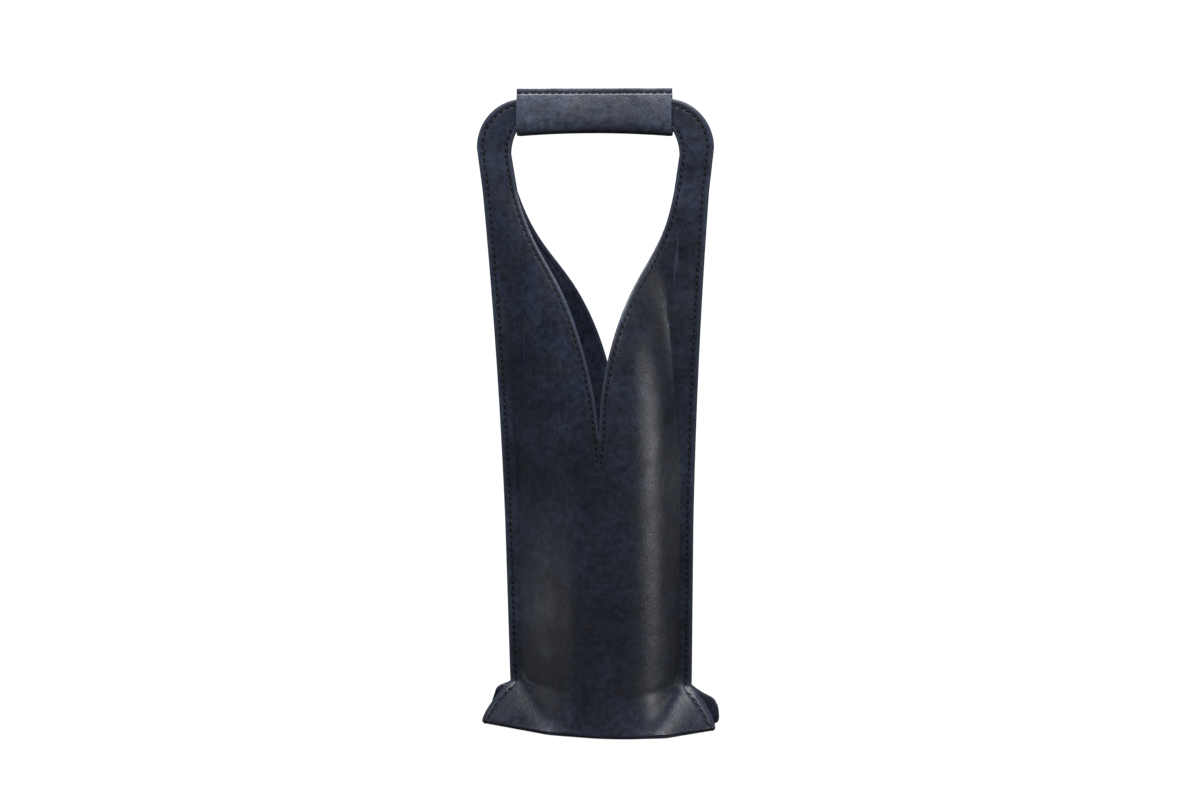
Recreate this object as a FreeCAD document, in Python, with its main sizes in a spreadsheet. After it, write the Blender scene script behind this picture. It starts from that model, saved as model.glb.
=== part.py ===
import FreeCAD
import Part
import math
import os
import Sketcher

# Leather bottle carrier: a folded strip with a V mouth, a hand hole and a wrapped grip.
# Millimetres, +Z up, the front faces -Y, the origin is under the middle of the base.

SIZES = [
    ("leather", 2.0, "thickness of the body leather"),
    ("seam_gap", 0.05, "half the gap between the two layers of a seam"),
    ("bottle_radius", 37.5, "bottle that the pocket is shaped round"),
    ("bottle_slack", 0.5, "room between bottle and leather"),
    ("bulge_shift", 8.0, "how far the bulge sits to the right of the middle"),
    ("bulge_fullness", 2.6, "exponent that makes the bulge rounder or squarer"),
    ("bulge_ease", 1.3, "exponent that eases the bulge into the flat flange"),
    ("mouth_ease", 2.4, "exponent of the closing of the panels towards the handle"),
    ("flange", 8.0, "flat margin beside the side seams"),
    ("base_half_depth", 41.5, "middle of the bottom fold from the middle plane"),
    ("ear_half_width", 74.0, "tip of a base ear from the middle"),
    ("ear_half_depth", 15.0, "tip of a base ear from the middle plane"),
    ("ear_edge_radius", 70.0, "curve of the sewn edge of an ear"),
    ("gusset_half_width", 50.0, "inner end of the gusset fold on the floor"),
    ("seam_end_half_width", 58.4, "side edge at the lower end of the side seam"),
    ("seam_end_height", 26.0, "lower end of the side seam"),
    ("flare_half_width", 60.0, "side edge where it starts to flare"),
    ("flare_height", 130.0, "height where the side edge starts to flare"),
    ("flare_radius", 4000.0, "curve of the flaring side edge"),
    ("pocket_height", 190.0, "height up to which the bottle is full width"),
    ("slit_height", 192.0, "bottom of the V mouth"),
    ("slit_shift", 6.5, "bottom of the V mouth to the right of the middle"),
    ("mouth_bend_shift", 3.0, "V mouth to the right of the middle where its curve turns"),
    ("mouth_bend_half_width", 27.0, "V mouth where its curve turns"),
    ("mouth_bend_height", 290.0, "height where the curve of the V mouth turns"),
    ("mouth_lower_radius", 218.0, "curve of the lower part of the V mouth"),
    ("mouth_upper_radius", 126.0, "curve of the upper part of the V mouth"),
    ("flex_height", 340.0, "line where the handle loop bends"),
    ("flex_half_width", 70.8, "side edge at the flex line"),
    ("flex_inner_half_width", 49.3, "hand hole edge at the flex line"),
    ("flex_half_gap", 0.15, "half the gap between body and handle loop at the bend"),
    ("flex_bevel", 1.0, "relief at the outer face of each layer at the bend"),
    ("loop_half_width", 74.0, "side edge at the shoulder"),
    ("loop_top", 397.5, "top edge of the loop"),
    ("shoulder_radius", 30.5, "outer corner of the loop"),
    ("hole_half_width", 52.8, "hand hole at its widest"),
    ("hole_side_height", 362.7, "height where the hand hole is widest"),
    ("hole_top", 378.0, "top edge of the hand hole"),
    ("hole_radius", 30.0, "upper corner of the hand hole"),
    ("grip_half_length", 48.3, "half the length of the grip cover"),
    ("cover_leather", 1.8, "thickness of the grip cover leather"),
    ("cover_slack", 0.2, "room between grip cover and loop"),
    ("cover_close", 2.0, "height over which the cover closes above the loop"),
    ("cover_fin", 4.0, "height of the sewn edge above the closed cover"),
    ("thread", 0.7, "thickness of the sewing thread"),
    ("thread_gap", 0.1, "gap between a stitch and the leather"),
    ("stitch_pitch", 4.2, "length of one stitch with its space"),
    ("stitch_length", 3.1, "visible length of one stitch"),
    ("seam_inset", 3.6, "row of stitches from the side edge"),
    ("mouth_inset", 3.0, "row of stitches from the mouth and hand hole edge"),
    ("grip_seam_drop", 2.6, "row of stitches from the top edge of the grip cover"),
    ("tack_length", 16.0, "length of the tack under the slit"),
]

doc = FreeCAD.newDocument("bottle_carrier")
sheet = doc.addObject("Spreadsheet::Sheet", "Sizes")
for row, (alias, value, note) in enumerate(SIZES, start=1):
    sheet.set(f"A{row}", note)
    sheet.set(f"B{row}", str(value))
    sheet.setAlias(f"B{row}", alias)
doc.recompute()


def amount(terms):
    """Value of a sum of sizes such as "hole_half_width - hole_radius"."""
    total = 0.0
    sign = 1.0
    for word in terms.split():
        if word in "+-":
            sign = 1.0 if word == "+" else -1.0
        else:
            total += sign * sheet.get(word)
    return total


def formula(terms):
    """The same sum as an expression that a document property can follow."""
    return " ".join(word if word in "+-" else f"Sizes.{word}" for word in terms.split())


# Sketches and solids

def new_body(name):
    """Body with its own origin planes."""
    return doc.addObject("PartDesign::Body", name)


def add_sketch(body, name, role):
    """Empty sketch on one of the body's own origin planes."""
    sketch = body.newObject("Sketcher::SketchObject", name)
    plane = next(item for item in body.Origin.OriginFeatures if item.Role == role)
    sketch.AttachmentSupport = [(plane, "")]
    sketch.MapMode = "FlatFace"
    return sketch


def pin_point(sketch, index, end, across, up):
    """Tie one end of an edge to sums of sizes; None keeps it on the axis."""
    for kind, terms, axis in (("DistanceX", across, -2), ("DistanceY", up, -1)):
        if terms is None:
            sketch.addConstraint(Sketcher.Constraint("PointOnObject", index, end, axis))
            continue
        tie = Sketcher.Constraint(kind, -1, 1, index, end, amount(terms))
        number = sketch.addConstraint(tie)
        sketch.setExpression(f"Constraints[{number}]", formula(terms))


def add_loop(sketch, corners):
    """Closed loop of corners (across, up) or (across, up, radius, side) of the edge that follows.

    The side is +1 where an arc swells to the right of its direction and -1 to the left."""
    places = []
    for across, up, *_ in corners:
        x = amount(across) if across else 0.0
        y = amount(up) if up else 0.0
        places.append(FreeCAD.Vector(x, y, 0))
    first = sketch.GeometryCount
    ends = []
    for number, (_, _, *bend) in enumerate(corners):
        start = places[number]
        stop = places[(number + 1) % len(places)]
        if not bend:
            sketch.addGeometry(Part.LineSegment(start, stop))
            ends.append((1, 2))
            continue
        radius = amount(bend[0])
        chord = stop - start
        rise = radius - math.sqrt(max(radius ** 2 - (chord.Length / 2) ** 2, 0.0))
        right = FreeCAD.Vector(chord.y, -chord.x, 0) / chord.Length
        middle = (start + stop) / 2 + right * rise * bend[1]
        index = sketch.addGeometry(Part.Arc(start, middle, stop))
        turned = sketch.getPoint(index, 1).distanceToPoint(start) > amount("seam_gap")
        ends.append((2, 1) if turned else (1, 2))
    for number, (across, up, *bend) in enumerate(corners):
        index = first + number
        after = (number + 1) % len(corners)
        pin_point(sketch, index, ends[number][0], across, up)
        meeting = (index, ends[number][1], first + after, ends[after][0])
        sketch.addConstraint(Sketcher.Constraint("Coincident", *meeting))
        if bend:
            size = Sketcher.Constraint("Radius", index, amount(bend[0]))
            tie = sketch.addConstraint(size)
            sketch.setExpression(f"Constraints[{tie}]", formula(bend[0]))


def add_pad(body, sketch, name, length, both_sides):
    """Pad of a sketch, to its front or half to each side."""
    pad = body.newObject("PartDesign::Pad", name)
    pad.Profile = sketch
    pad.setExpression("Length", length)
    pad.Midplane = both_sides
    return pad


def add_mirror(body, sketch, pad):
    """The other half of a body that was drawn on its right side."""
    mirror = body.newObject("PartDesign::Mirrored", f"{pad.Name}_mirror")
    mirror.Originals = [pad]
    mirror.MirrorPlane = (sketch, ["V_Axis"])
    body.Tip = mirror
    return mirror


def boolean(kind, name, base, tool):
    """Cut or common of two document objects."""
    result = doc.addObject(f"Part::{kind}", name)
    result.Base = base
    result.Tool = tool
    return result


def reflect(name, source, normal):
    """Mirror image of a document object through the origin."""
    image = doc.addObject("Part::Mirroring", name)
    image.Source = source
    image.Normal = normal
    image.Base = FreeCAD.Vector(0, 0, 0)
    return image


def feature(name, shape):
    """Document object with a shape worked out from the sizes."""
    item = doc.addObject("Part::Feature", name)
    item.Shape = shape
    item.Placement = FreeCAD.Placement()
    return item


# The formed leather: closed half-lens sections, one for each height

SPACING = (-1.0, -0.92, -0.8, -0.6, -0.3, 0.0, 0.3, 0.6, 0.8, 0.92, 1.0)
MOUTH_STEPS = 6
REACH = FreeCAD.Vector(0, 1, 0)

seam_depth = amount("leather + seam_gap")
body_depth = amount("bottle_radius + bottle_slack + leather")
blank_half_width = amount("ear_half_width + flange")


def between(value, low, high, at_low, at_high):
    """Straight change from at_low to at_high while value goes from low to high."""
    return at_low + (at_high - at_low) * (value - low) / (high - low)


def side_edge(height):
    """Half width of a panel at its side edge."""
    corners = [
        (0.0, amount("ear_half_width")),
        (amount("seam_end_height"), amount("seam_end_half_width")),
        (amount("flare_height"), amount("flare_half_width")),
        (amount("flex_height"), amount("flex_half_width")),
    ]
    for (low, at_low), (high, at_high) in zip(corners, corners[1:]):
        if height <= high:
            return between(height, low, high, at_low, at_high)
    return corners[-1][1]


def edge_depth(height):
    """Distance of the outer face at the side edge from the middle plane."""
    top = amount("seam_end_height")
    return between(min(height, top), 0.0, top, amount("ear_half_depth"), seam_depth)


def bulge_depth(height):
    """Distance of the outer face at the bulge from the middle plane."""
    low = amount("seam_end_height")
    full = amount("pocket_height")
    if height <= low:
        return between(height, 0.0, low, amount("base_half_depth"), body_depth)
    if height <= full:
        return body_depth
    closing = between(height, full, amount("flex_height"), 0.0, 1.0)
    return seam_depth + (body_depth - seam_depth) * (1.0 - closing ** amount("mouth_ease"))


def section_points(height, thickness):
    """Points across the bulge, set in from the outer face by a thickness."""
    edge = edge_depth(height)
    rise = bulge_depth(height) - edge
    shift = amount("bulge_shift") * rise / body_depth
    low = amount("seam_end_height")
    flange = between(min(height, low), 0.0, low, 0.0, amount("flange"))
    half = side_edge(height) - flange
    power = amount("bulge_fullness")
    ease = amount("bulge_ease")
    points = []
    for s in SPACING:
        reach = half - shift if s > 0 else half + shift
        fill = max(1.0 - abs(s) ** power, 0.0)
        depth = edge + rise * fill ** ease
        slope = -rise * ease * fill ** (ease - 1.0) * power * abs(s) ** (power - 1.0) / reach
        slope = math.copysign(slope, -s)
        tilt = math.hypot(1.0, slope)
        x = shift + s * reach + thickness * slope / tilt
        points.append(FreeCAD.Vector(x, thickness / tilt - depth, height))
    return points


def section_curve(height, thickness):
    """Smooth curve across the bulge."""
    curve = Part.BSplineCurve()
    curve.interpolate(Points=section_points(height, thickness), Parameters=list(SPACING))
    return curve


def section_wire(height, thickness):
    """Closed half lens: flange, bulge, flange and the straight line on the middle plane."""
    curve = section_curve(height, thickness)
    left = curve.value(SPACING[0])
    right = curve.value(SPACING[-1])
    corners = [
        right,
        FreeCAD.Vector(blank_half_width, right.y, height),
        FreeCAD.Vector(blank_half_width, 0, height),
        FreeCAD.Vector(-blank_half_width, 0, height),
        FreeCAD.Vector(-blank_half_width, left.y, height),
        left,
    ]
    edges = [curve.toShape()]
    for start, stop in zip(corners, corners[1:]):
        edges.append(Part.LineSegment(start, stop).toShape())
    return Part.Wire(edges)


def level_heights():
    """Heights of the sections from the floor to the flex line."""
    low = amount("seam_end_height")
    full = amount("pocket_height")
    top = amount("flex_height")
    heights = [0.0, low, (low + full) / 2, full]
    for step in range(1, MOUTH_STEPS + 1):
        heights.append(between(step, 0, MOUTH_STEPS, full, top))
    return heights


levels = level_heights()
level_curves = [section_curve(height, 0.0) for height in levels]


def formed_solid(name, thickness):
    """Half-lens solid from the floor to the flex line."""
    wires = [section_wire(height, thickness) for height in levels]
    return feature(name, Part.makeLoft(wires, True, True))


def face_depth(x, height):
    """Distance of the outer face from the middle plane, on the lofted sections."""
    number = 0
    while number < len(levels) - 2 and height > levels[number + 1]:
        number += 1
    lower = level_curves[number]
    upper = level_curves[number + 1]
    part = between(height, levels[number], levels[number + 1], 0.0, 1.0)

    def place(s):
        return lower.value(s) * (1.0 - part) + upper.value(s) * part

    low, high = SPACING[0], SPACING[-1]
    for _ in range(40):
        middle = (low + high) / 2
        if place(middle).x < x:
            low = middle
        else:
            high = middle
    return -place((low + high) / 2).y


outer_form = formed_solid("outer_form", 0.0)
inner_form = formed_solid("inner_form", amount("leather"))
sheet_form = boolean("Cut", "sheet_form", outer_form, inner_form)

# Outlines of the panel, with its V mouth over the bulge, and of the handle loop

panel_outline = new_body("panel_outline")
panel_sketch = add_sketch(panel_outline, "panel_sketch", "XZ_Plane")
add_loop(panel_sketch, [
    ("ear_half_width", None, "ear_edge_radius", 1),
    ("seam_end_half_width", "seam_end_height"),
    ("flare_half_width", "flare_height", "flare_radius", -1),
    ("flex_half_width", "flex_height"),
    ("flex_inner_half_width", "flex_height", "mouth_upper_radius", -1),
    ("mouth_bend_shift + mouth_bend_half_width", "mouth_bend_height", "mouth_lower_radius", 1),
    ("slit_shift", "slit_height", "mouth_lower_radius", 1),
    ("mouth_bend_shift - mouth_bend_half_width", "mouth_bend_height", "mouth_upper_radius", -1),
    ("- flex_inner_half_width", "flex_height"),
    ("- flex_half_width", "flex_height", "flare_radius", -1),
    ("- flare_half_width", "flare_height"),
    ("- seam_end_half_width", "seam_end_height", "ear_edge_radius", 1),
    ("- ear_half_width", None),
])
add_pad(panel_outline, panel_sketch, "panel_pad", "3 * Sizes.base_half_depth", True)

loop_body = new_body("loop_body")
loop_sketch = add_sketch(loop_body, "loop_sketch", "XZ_Plane")
loop_sketch.setExpression("AttachmentOffset.Base.z", "Sizes.seam_gap")
add_loop(loop_sketch, [
    (None, "hole_top"),
    ("grip_half_length + cover_slack", "hole_top", "hole_radius", -1),
    ("hole_half_width", "hole_side_height"),
    ("flex_inner_half_width", "flex_height"),
    ("flex_half_width", "flex_height"),
    ("loop_half_width", "loop_top - shoulder_radius", "shoulder_radius", 1),
    ("loop_half_width - shoulder_radius", "loop_top"),
    (None, "loop_top"),
])
loop_pad = add_pad(loop_body, loop_sketch, "loop_pad", "Sizes.leather", False)
add_mirror(loop_body, loop_sketch, loop_pad)

# Bevelled relief between body and handle loop, so that the layers clear each other at the bend

RELIEF_REACH = "leather + leather + seam_gap"
RELIEF_OPENING = "flex_half_gap + flex_bevel + flex_bevel"

relief = new_body("flex_relief")
relief_sketch = add_sketch(relief, "relief_sketch", "YZ_Plane")
add_loop(relief_sketch, [
    (None, "flex_height - flex_half_gap"),
    (RELIEF_REACH, "flex_height - flex_half_gap - flex_bevel - flex_bevel"),
    (RELIEF_REACH, "flex_height + " + RELIEF_OPENING),
    (None, "flex_height + flex_half_gap"),
    ("- leather - leather - seam_gap", "flex_height + " + RELIEF_OPENING),
    ("- leather - leather - seam_gap", "flex_height - flex_half_gap - flex_bevel - flex_bevel"),
])
add_pad(relief, relief_sketch, "relief_pad", "3 * Sizes.loop_half_width", True)

# Leather pieces

NODES = {}


def node(name, item):
    """Name a finished piece."""
    item.Label = name
    NODES[name] = item
    return item


cut_panel = boolean("Common", "cut_panel", sheet_form, panel_outline)
front_panel = node("front_panel", boolean("Cut", "front_panel_solid", cut_panel, relief))
node("back_panel", reflect("back_panel_solid", front_panel, REACH))
front_loop = node("front_handle_loop", boolean("Cut", "front_loop_solid", loop_body, relief))
node("back_handle_loop", reflect("back_loop_solid", front_loop, REACH))


def gusset_flap(side, height):
    """Prism on the triangle from the seam end and the ear tip to the inner fold of the base.

    A positive height goes into the carrier and a negative one out into the open beak."""
    past_middle = amount("leather")
    seam_end = FreeCAD.Vector(side * amount("seam_end_half_width"), past_middle, amount("seam_end_height"))
    ear_tip = FreeCAD.Vector(side * amount("ear_half_width"), -amount("ear_half_depth"), 0)
    inner_end = FreeCAD.Vector(side * amount("gusset_half_width"), past_middle, 0)
    triangle = Part.Face(Part.makePolygon([seam_end, ear_tip, inner_end, seam_end]))
    inward = (ear_tip - seam_end).cross(inner_end - seam_end).normalize() * -side
    return triangle.extrude(inward * height)


floor_slab = doc.addObject("Part::Box", "floor_slab")
floor_slab.setExpression("Length", "4 * Sizes.ear_half_width")
floor_slab.setExpression("Width", "4 * Sizes.base_half_depth")
floor_slab.setExpression("Height", "Sizes.leather")
floor_slab.setExpression("Placement.Base.x", "-2 * Sizes.ear_half_width")
floor_slab.setExpression("Placement.Base.y", "-2 * Sizes.base_half_depth")
flaps = []
beaks = []
for name, side in (("left", -1), ("right", 1)):
    flaps.append(feature(f"gusset_flap_{name}", gusset_flap(side, amount("leather"))))
    outside = feature(f"beak_front_{name}", gusset_flap(side, -amount("base_half_depth")))
    beaks.append(boolean("Common", f"beak_{name}", outside, reflect(f"beak_back_{name}", outside, REACH)))
gusset_stock = doc.addObject("Part::MultiFuse", "gusset_stock")
gusset_stock.Shapes = [floor_slab] + flaps
front_gusset = boolean("Common", "front_gusset", inner_form, gusset_stock)
back_gusset = reflect("back_gusset", front_gusset, REACH)
gusset_sheet = boolean("Fuse", "gusset_sheet", front_gusset, back_gusset)
gusset_sheet.Refine = True
gusset_cut = boolean("Common", "gusset_cut", gusset_sheet, panel_outline)
beak_tool = boolean("Fuse", "beak_tool", *beaks)
node("base_gusset", boolean("Cut", "base_gusset_solid", gusset_cut, beak_tool))

# Grip cover: a wrap round the top of the loop, closed to a sewn fin above it

COVER_INSIDE = "leather + seam_gap + cover_slack"
COVER_OUTSIDE = COVER_INSIDE + " + cover_leather"
COVER_BEND = "hole_top + cover_slack"
COVER_TOP = "loop_top + cover_slack + cover_close"


def below(terms):
    """The same sum with every sign turned."""
    return "- " + terms.replace("+", "-")


cover = new_body("cover_body")
cover_sketch = add_sketch(cover, "cover_sketch", "YZ_Plane")
add_loop(cover_sketch, [
    (below(COVER_OUTSIDE), COVER_BEND, COVER_OUTSIDE, 1),
    (None, COVER_BEND + " " + below(COVER_OUTSIDE), COVER_OUTSIDE, 1),
    (COVER_OUTSIDE, COVER_BEND),
    (COVER_OUTSIDE, "loop_top"),
    ("cover_leather", COVER_TOP),
    ("cover_leather", COVER_TOP + " + cover_fin"),
    ("- cover_leather", COVER_TOP + " + cover_fin"),
    ("- cover_leather", COVER_TOP),
    (below(COVER_OUTSIDE), "loop_top"),
])
add_loop(cover_sketch, [
    (below(COVER_INSIDE), COVER_BEND, COVER_INSIDE, 1),
    (None, COVER_BEND + " " + below(COVER_INSIDE), COVER_INSIDE, 1),
    (COVER_INSIDE, COVER_BEND),
    (COVER_INSIDE, "loop_top + cover_slack"),
    (None, COVER_TOP),
    (below(COVER_INSIDE), "loop_top + cover_slack"),
])
add_pad(cover, cover_sketch, "cover_pad", "2 * Sizes.grip_half_length", True)
node("grip_cover", cover)
doc.recompute()

# Stitches: short bars of thread along rows that follow the edges at an inset


def seam_places(edges, inset, inward):
    """Middle and direction of each stitch along a chain of outline edges."""
    chain = Part.Wire(Part.__sortEdges__(edges))
    count = max(2, round(chain.Length / amount("stitch_pitch")))
    points = chain.discretize(Number=2 * count + 1)
    places = []
    for number in range(count):
        before, middle, after = points[2 * number:2 * number + 3]
        along = (after - before).normalize()
        across = FreeCAD.Vector(along.z, 0, -along.x)
        if across.dot(inward(middle)) < 0:
            across = across * -1
        place = middle + across * inset
        if abs(place.z - amount("flex_height")) > amount("stitch_pitch"):
            places.append((place, along))
    return places


def to_body(point):
    """Direction from an outer edge to the middle of the body."""
    return FreeCAD.Vector(0, 0, amount("pocket_height") / 2) - point


def to_floor(point):
    """Direction from an ear edge to the middle of the floor."""
    return point * -1


def from_mouth(point):
    """Direction from the middle of the mouth to its edge."""
    height = (amount("mouth_bend_height") + amount("flex_height")) / 2
    return point - FreeCAD.Vector(amount("mouth_bend_shift"), 0, height)


def flat_depth(x, height):
    """Depth of the flat handle loop."""
    return seam_depth


def cover_depth(x, height):
    """Depth of the sewn fin of the grip cover."""
    return amount("cover_leather")


def stitch(place, along, depth, face):
    """One bar of thread on the front face (-1) or the back face (+1)."""
    step = amount("thread")
    x = place.x
    height = place.z
    slope_x = (depth(x + step, height) - depth(x - step, height)) / (2 * step)
    slope_z = (depth(x, height + step) - depth(x, height - step)) / (2 * step)
    normal = FreeCAD.Vector(-slope_x, face, -slope_z).normalize()
    run = FreeCAD.Vector(along.x, face * (slope_x * along.x + slope_z * along.z), along.z)
    run = run.normalize()
    length = amount("stitch_length")
    width = amount("thread")
    corner = FreeCAD.Vector(-length / 2, -width / 2, amount("thread_gap"))
    bar = Part.makeBox(length, width, width, corner)
    turn = FreeCAD.Rotation(run, normal.cross(run), normal, "XZY")
    bar.Placement = FreeCAD.Placement(FreeCAD.Vector(x, face * depth(x, height), height), turn)
    return bar


def stitch_node(name, places, depth, faces):
    """Group of stitches of one seam."""
    bars = [stitch(place, along, depth, face) for face in faces for place, along in places]
    node(name, feature(f"{name}_bars", Part.makeCompound(bars)))


def beside_grip(places):
    """The stitches of a row on the loop that the grip cover leaves free."""
    free = amount("grip_half_length + stitch_length")
    return [(place, along) for place, along in places if abs(place.x) > free]


def off_floor(places):
    """The stitches of a row on an ear that stay clear of the floor."""
    return [(place, along) for place, along in places if place.z > amount("stitch_length")]


def edge_line(start, stop):
    """Straight edge between two places (x, height) on the middle plane."""
    ends = [FreeCAD.Vector(x, 0, height) for x, height in (start, stop)]
    return Part.LineSegment(*ends).toShape()


FRONT = -1
BACK = 1
BOTH = (FRONT, BACK)
LAYERS = (("front", FRONT), ("back", BACK))
panel_edges = panel_sketch.Shape.Edges
loop_edges = loop_sketch.Shape.Edges
mirrored_edges = loop_sketch.Shape.mirror(FreeCAD.Vector(0, 0, 0), FreeCAD.Vector(1, 0, 0)).Edges
seam_inset = amount("seam_inset")
mouth_inset = amount("mouth_inset")

SEAMS = {
    "right": (panel_edges[0:1], panel_edges[1:3], panel_edges[4:6], loop_edges),
    "left": (panel_edges[11:12], panel_edges[9:11], panel_edges[6:8], mirrored_edges),
}
for side, (ear, edge, mouth, loop) in SEAMS.items():
    stitch_node(f"side_thread_{side}", seam_places(edge, seam_inset, to_body), face_depth, BOTH)
    for name, edges, inset, inward in (
        (f"shoulder_thread_{side}", loop[4:6], seam_inset, to_body),
        (f"hand_hole_thread_{side}", loop[1:3], mouth_inset, from_mouth),
    ):
        stitch_node(name, beside_grip(seam_places(edges, inset, inward)), flat_depth, BOTH)
    mouth_places = seam_places(mouth, mouth_inset, from_mouth)
    ear_places = off_floor(seam_places(ear, seam_inset, to_floor))
    for layer, face in LAYERS:
        stitch_node(f"{layer}_mouth_thread_{side}", mouth_places, face_depth, (face,))
        stitch_node(f"ear_thread_{layer}_{side}", ear_places, face_depth, (face,))

tack_places = []
for side in (-1, 1):
    tack_start = (amount("slit_shift") + side * mouth_inset, amount("slit_height"))
    tack_end = (amount("slit_shift") + side * amount("thread"), amount("slit_height - tack_length"))
    tack_places += seam_places([edge_line(tack_start, tack_end)], 0.0, to_body)
for layer, face in LAYERS:
    stitch_node(f"{layer}_slit_tack", tack_places, face_depth, (face,))

grip_seam_height = amount(COVER_TOP + " + cover_fin - grip_seam_drop")
grip_end = amount("grip_half_length")
grip_line = edge_line((-grip_end, grip_seam_height), (grip_end, grip_seam_height))
stitch_node("grip_seam_thread", seam_places([grip_line], 0.0, to_body), cover_depth, BOTH)

# Check and write

doc.recompute()
for item in doc.Objects:
    if "Invalid" in item.State or "Error" in item.State:
        raise RuntimeError(f"{item.Label} did not build: {item.State}")
for name, item in NODES.items():
    shape = item.Shape
    if shape.isNull() or not shape.isValid() or not shape.Solids:
        raise RuntimeError(f"{name} is not a valid solid")

os.makedirs("parts", exist_ok=True)
for name, item in NODES.items():
    item.Shape.exportStep(f"parts/{name}.step")
    print(name, len(item.Shape.Solids), round(item.Shape.Volume, 1))
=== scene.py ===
import math
import random

import bmesh
import bpy
import numpy as np
from bpy.props import FloatProperty, FloatVectorProperty, PointerProperty
from mathutils import Matrix, Quaternion, Vector, kdtree, noise


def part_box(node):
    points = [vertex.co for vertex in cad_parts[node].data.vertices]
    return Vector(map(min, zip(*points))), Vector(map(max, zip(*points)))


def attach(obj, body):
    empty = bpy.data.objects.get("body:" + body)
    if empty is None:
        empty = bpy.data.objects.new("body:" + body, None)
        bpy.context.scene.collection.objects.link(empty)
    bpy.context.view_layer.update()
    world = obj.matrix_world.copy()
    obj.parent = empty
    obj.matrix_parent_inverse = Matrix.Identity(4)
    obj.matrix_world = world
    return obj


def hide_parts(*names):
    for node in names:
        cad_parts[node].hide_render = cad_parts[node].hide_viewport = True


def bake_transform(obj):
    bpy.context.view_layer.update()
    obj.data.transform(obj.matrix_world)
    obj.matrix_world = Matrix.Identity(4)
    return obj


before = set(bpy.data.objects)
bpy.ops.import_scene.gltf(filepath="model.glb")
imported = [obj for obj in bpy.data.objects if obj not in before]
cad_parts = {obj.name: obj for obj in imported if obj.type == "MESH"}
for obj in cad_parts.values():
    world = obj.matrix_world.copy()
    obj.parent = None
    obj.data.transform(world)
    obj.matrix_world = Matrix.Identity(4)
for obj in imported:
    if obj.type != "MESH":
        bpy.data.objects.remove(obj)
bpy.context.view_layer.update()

bl_info = {
    "name": "Leather bottle carrier",
    "version": (1, 0, 0),
    "blender": (4, 5, 0),
    "location": "3D View > Sidebar > Carrier",
    "description": "Sewn leather carrier with a folded base, a V mouth and a wrapped grip",
    "category": "Object",
}

MM = 0.001
BODY = "carrier_body"
HANDLE = "handle"
FRONT, BACK = -1, 1
LEFT, RIGHT = -1, 1
FACES = (("front", FRONT), ("back", BACK))

# The cut of the leather in millimetres, across from the middle and up from the floor
SEAM_END = (58.4, 26.0)
FRONT_EAR = (
    (75.2, 0.0), (75.1, 3.0), (74.1, 6.0), (71.7, 10.5), (69.4, 13.9), (66.3, 17.9), (61.9, 23.0),
    SEAM_END)
EAR_EDGES = {
    (FRONT, LEFT): FRONT_EAR,
    (FRONT, RIGHT): FRONT_EAR,
    (BACK, LEFT): (
        (74.4, 0.0), (74.0, 5.0), (72.6, 10.0), (70.6, 15.0), (68.6, 19.4), (65.6, 22.0),
        (61.6, 23.6), SEAM_END),
    (BACK, RIGHT): (
        (75.2, 0.0), (75.6, 4.0), (75.4, 8.0), (74.2, 13.5), (71.6, 17.2), (66.6, 19.8),
        (62.2, 22.8), SEAM_END),
}
FLARE = (60.0, 130.0)
FLEX_OUTSIDE = (70.8, 340.0)
FLEX_INSIDE = (49.3, 340.0)
SHOULDER = (74.0, 367.0)
SHOULDER_TOP = (43.5, 397.5)
HOLE_SIDE = (52.8, 362.7)
HOLE_TOP = (48.5, 378.0)
STRAP_RISE = 1.6
SLIT = (6.5, 192.0)
MOUTH_BEND = (27.0, 290.0)
MOUTH_BEND_SHIFT = 3.0
MOUTH_MIDDLE = (MOUTH_BEND_SHIFT, 315.0)
BODY_MIDDLE = (0.0, 95.0)
FLARE_RADIUS = 4000.0
LOWER_MOUTH_RADIUS = 218.0
UPPER_MOUTH_RADIUS = 126.0
HOLE_RADIUS = 30.0
SHOULDER_RADIUS = 30.5

# The form of the pocket above the seam ends: full up to one height and closing above it
LAYER_GAP = 0.05
FLANGE = 8.0
FULL_HEIGHT = 190.0
CLOSING_POWER = 2.4
# The crease beside a seam is crisp where the pocket is full and softest at this height
SOFT_HEIGHT = 290.0
SOFTEST_WINDOW = 11
# Places across at which the depth of a row is worked out
LENS_SAMPLES = np.arange(-80.0, 80.5, 0.5)
# Stiff leather bows out between the round and the seam: rise per length of that run
RUN_BOW = 0.07
# The front right quarter is drawn in towards the mouth: its half width at two heights
DRAWN_IN = (FRONT, RIGHT)
DRAWN_HEIGHTS = (150.0, 300.0)
DRAWN_HALVES = (53.5, 43.0)

# The form of the folded base below the seam ends
EAR_DEPTH = {(FRONT, LEFT): 15.0, (FRONT, RIGHT): 15.0, (BACK, LEFT): 15.0, (BACK, RIGHT): 7.0}
CREASE_RIGHT = (46.0, 37.0)
CREASE_LEFT = (-29.0, 37.5)
BASE_MIDDLE = (9.0, 41.3)
BASE_ROUND_POWER = 2.2
GUSSET_INNER = 70.5
GUSSET_OUTER = 74.0
GUSSET_TOP = 22.4
GUSSET_TUCK = 8.0
# The base leather: height of the wall that its floor meets and of its grain side, half width
# between its corners, and how far it stays inside the fold, the ears, their corners and layers
WALL_FOOT = 0.01
BASE_LIFT = 0.02
FLOOR_HALF = 63.0
FLOOR_INSET = 0.1
FLAP_INSET = 0.8
CORNER_INSET = 1.5
FLAP_GAP = 0.15
FLAP_LEAST = 0.4
# Turns of the bottom fold in degrees, from the floor up to the wall
FOLD_TURNS = (90.0, 62.0, 34.0, 12.0)

# The easing of the base: its passes, and the heights where it is full and where it ends
SETTLE_PASSES = 7
SETTLE_FULL, SETTLE_END = 40.0, 70.0
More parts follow.
